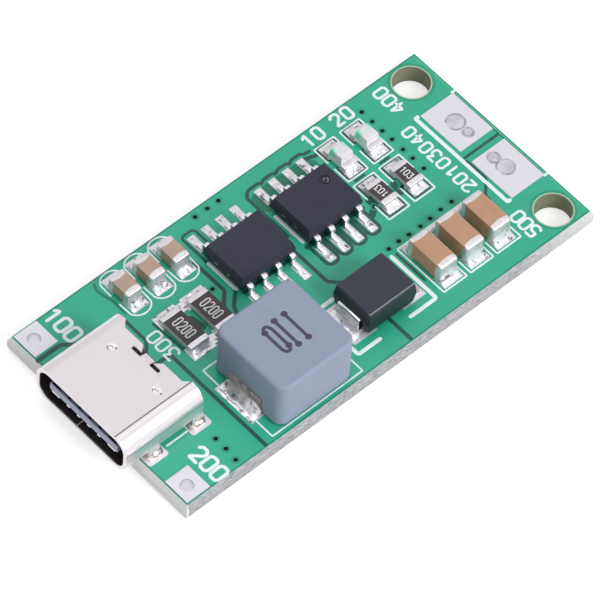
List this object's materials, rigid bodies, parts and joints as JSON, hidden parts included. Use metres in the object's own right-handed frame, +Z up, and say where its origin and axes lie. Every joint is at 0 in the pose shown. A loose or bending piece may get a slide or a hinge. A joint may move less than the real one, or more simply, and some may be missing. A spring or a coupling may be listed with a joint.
{
  "type": "lithium battery charger module",
  "caption": "Small circuit board that charges a lithium battery from a plug socket at one end, with solder pads for the battery and two fixing holes at the other.",
  "frame": {"origin": "middle of the board's flat underside", "axes": "+X from the plug socket to the battery pads, +Y to the long edge beside the two circuits, +Z up out of the side that carries the parts"},
  "size_m": [0.0383, 0.018, 0.0059],
  "materials": {
    "solder_mask": "satin green solder mask over glass-fibre laminate",
    "tinned_copper": "flat tinned copper",
    "solder": "bright solder",
    "socket_steel": "nickel-plated steel sheet",
    "black_moulding": "black moulded plastic",
    "tongue_moulding": "grey-blue moulded plastic",
    "contact_metal": "plated contact",
    "inductor_moulding": "pressed grey-blue powder",
    "terminal_copper": "tinned copper strip with a brown edge",
    "circuit_moulding": "dark epoxy moulding",
    "diode_moulding": "dark epoxy moulding",
    "lead_metal": "tinned lead frame",
    "capacitor_ceramic": "fired tan ceramic",
    "chip_end_metal": "tinned chip end",
    "resistor_ceramic": "white alumina",
    "resistor_glaze": "black glaze",
    "lamp_base": "pale laminate",
    "lamp_lens": "clear moulded lens",
    "laminate": "snapped glass-fibre edge",
    "silkscreen": "white printed ink"
  },
  "bodies": {
    "root": {"circuit_board": "solder_mask", "wire_pad_far": "tinned_copper", "wire_pad_near": "tinned_copper", "battery_pad_far": "tinned_copper", "battery_pad_near": "tinned_copper", "socket_leg_lands": "tinned_copper", "socket_tail_lands": "tinned_copper", "input_capacitor_lands": "tinned_copper", "sense_resistor_lands": "tinned_copper", "circuit_lands": "tinned_copper", "inductor_lands": "tinned_copper", "diode_lands": "tinned_copper", "output_capacitor_lands": "tinned_copper", "lamp_lands": "tinned_copper", "lamp_resistor_lands": "tinned_copper", "socket_shell": "socket_steel", "socket_insulator": "black_moulding", "socket_tongue": "tongue_moulding", "socket_contacts": "contact_metal", "socket_solder": "solder", "inductor_body": "inductor_moulding", "inductor_terminals": "terminal_copper", "inductor_solder": "solder", "converter_body": "circuit_moulding", "converter_leads": "lead_metal", "charger_body": "circuit_moulding", "charger_leads": "lead_metal", "circuit_solder": "solder", "diode_body": "diode_moulding", "diode_leads": "lead_metal", "diode_solder": "solder", "input_capacitor_bodies": "capacitor_ceramic", "input_capacitor_ends": "chip_end_metal", "input_capacitor_solder": "solder", "output_capacitor_bodies": "capacitor_ceramic", "output_capacitor_ends": "chip_end_metal", "output_capacitor_solder": "solder", "sense_resistor_bodies": "resistor_ceramic", "sense_resistor_glazes": "resistor_glaze", "sense_resistor_ends": "chip_end_metal", "sense_resistor_solder": "solder", "lamp_resistor_bodies": "resistor_ceramic", "lamp_resistor_glazes": "resistor_glaze", "lamp_resistor_ends": "chip_end_metal", "lamp_resistor_solder": "solder", "lamp_bases": "lamp_base", "lamp_lenses": "lamp_lens", "lamp_ends": "chip_end_metal", "lamp_solder": "solder"}
  },
  "joints": []
}
